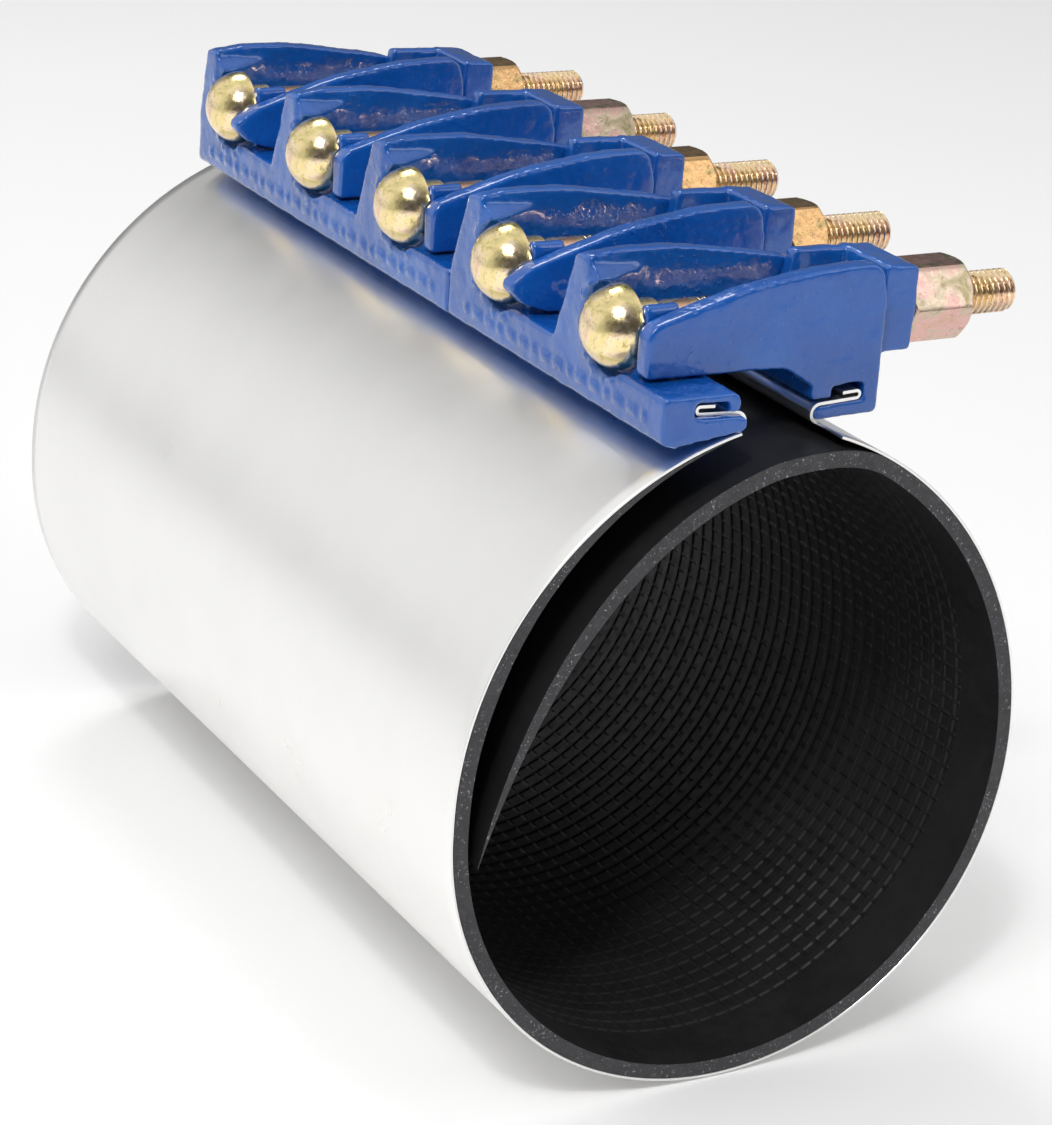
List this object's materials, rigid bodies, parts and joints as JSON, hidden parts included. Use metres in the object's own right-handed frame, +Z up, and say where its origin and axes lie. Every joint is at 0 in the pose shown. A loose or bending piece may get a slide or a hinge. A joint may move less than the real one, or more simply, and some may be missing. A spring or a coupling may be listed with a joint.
{
  "type": "pipe repair clamp",
  "caption": "Full-circle pipe repair clamp: a stainless band lined with a waffle rubber gasket, closed by a row of lug bolts.",
  "frame": {"origin": "centre of the pipe bore, halfway along the clamp", "axes": "+Y along the pipe, +Z up from the pipe's axis to the lugs, +X from the bolt heads to the nuts"},
  "size_m": [0.1886, 0.3174, 0.2393],
  "materials": {
    "stainless_sheet": "mill-finish stainless sheet with faint scuffs",
    "gasket_rubber": "black moulded rubber, waffle pattern inside",
    "bridge_sheet": "stainless plate moulded in the rubber",
    "lug_paint": "thick glossy blue coating on ductile iron castings",
    "bolt_zinc": "yellow zinc dichromate on steel",
    "short_nut_zinc": "yellow and olive zinc dichromate on steel",
    "long_nut_zinc": "pinkish zinc dichromate on steel"
  },
  "bodies": {
    "clamp_body": {"band": "stainless_sheet", "gasket": "gasket_rubber", "bridge_plate": "bridge_sheet", "head_casting_far": "lug_paint", "head_casting_near": "lug_paint", "bolt_1": "bolt_zinc", "bolt_2": "bolt_zinc", "bolt_3": "bolt_zinc", "bolt_4": "bolt_zinc", "bolt_5": "bolt_zinc"},
    "nut_side": {"nut_casting_far": "lug_paint", "nut_casting_near": "lug_paint"},
    "nut_1_body": {"nut_1": "short_nut_zinc"},
    "nut_2_body": {"nut_2": "long_nut_zinc"},
    "nut_3_body": {"nut_3": "short_nut_zinc"},
    "nut_4_body": {"nut_4": "short_nut_zinc"},
    "nut_5_body": {"nut_5": "long_nut_zinc"}
  },
  "joints": [
    {"name": "lug_closing", "type": "slide", "parent": "clamp_body", "child": "nut_side", "axis": [-1, 0, 0], "range_m": [-0.021, 0.023], "deforming": ["band", "gasket"]},
    {"name": "nut_1_turn", "type": "hinge", "parent": "nut_side", "child": "nut_1_body", "pos_m": [0.0549, 0.127, 0.1287], "axis": [-1, 0, 0], "range_deg": [-3871, 4240]},
    {"name": "nut_2_turn", "type": "hinge", "parent": "nut_side", "child": "nut_2_body", "pos_m": [0.0549, 0.0635, 0.1287], "axis": [-1, 0, 0], "range_deg": [-3871, 4240]},
    {"name": "nut_3_turn", "type": "hinge", "parent": "nut_side", "child": "nut_3_body", "pos_m": [0.0549, 0, 0.1287], "axis": [-1, 0, 0], "range_deg": [-3871, 4240]},
    {"name": "nut_4_turn", "type": "hinge", "parent": "nut_side", "child": "nut_4_body", "pos_m": [0.0549, -0.0635, 0.1287], "axis": [-1, 0, 0], "range_deg": [-3871, 4240]},
    {"name": "nut_5_turn", "type": "hinge", "parent": "nut_side", "child": "nut_5_body", "pos_m": [0.0549, -0.127, 0.1287], "axis": [-1, 0, 0], "range_deg": [-3871, 4240]}
  ],
  "couplings": [
    {"joint": "nut_1_turn", "follows": "lug_closing", "rad_per_m": 3215.6},
    {"joint": "nut_2_turn", "follows": "lug_closing", "rad_per_m": 3215.6},
    {"joint": "nut_3_turn", "follows": "lug_closing", "rad_per_m": 3215.6},
    {"joint": "nut_4_turn", "follows": "lug_closing", "rad_per_m": 3215.6},
    {"joint": "nut_5_turn", "follows": "lug_closing", "rad_per_m": 3215.6}
  ]
}
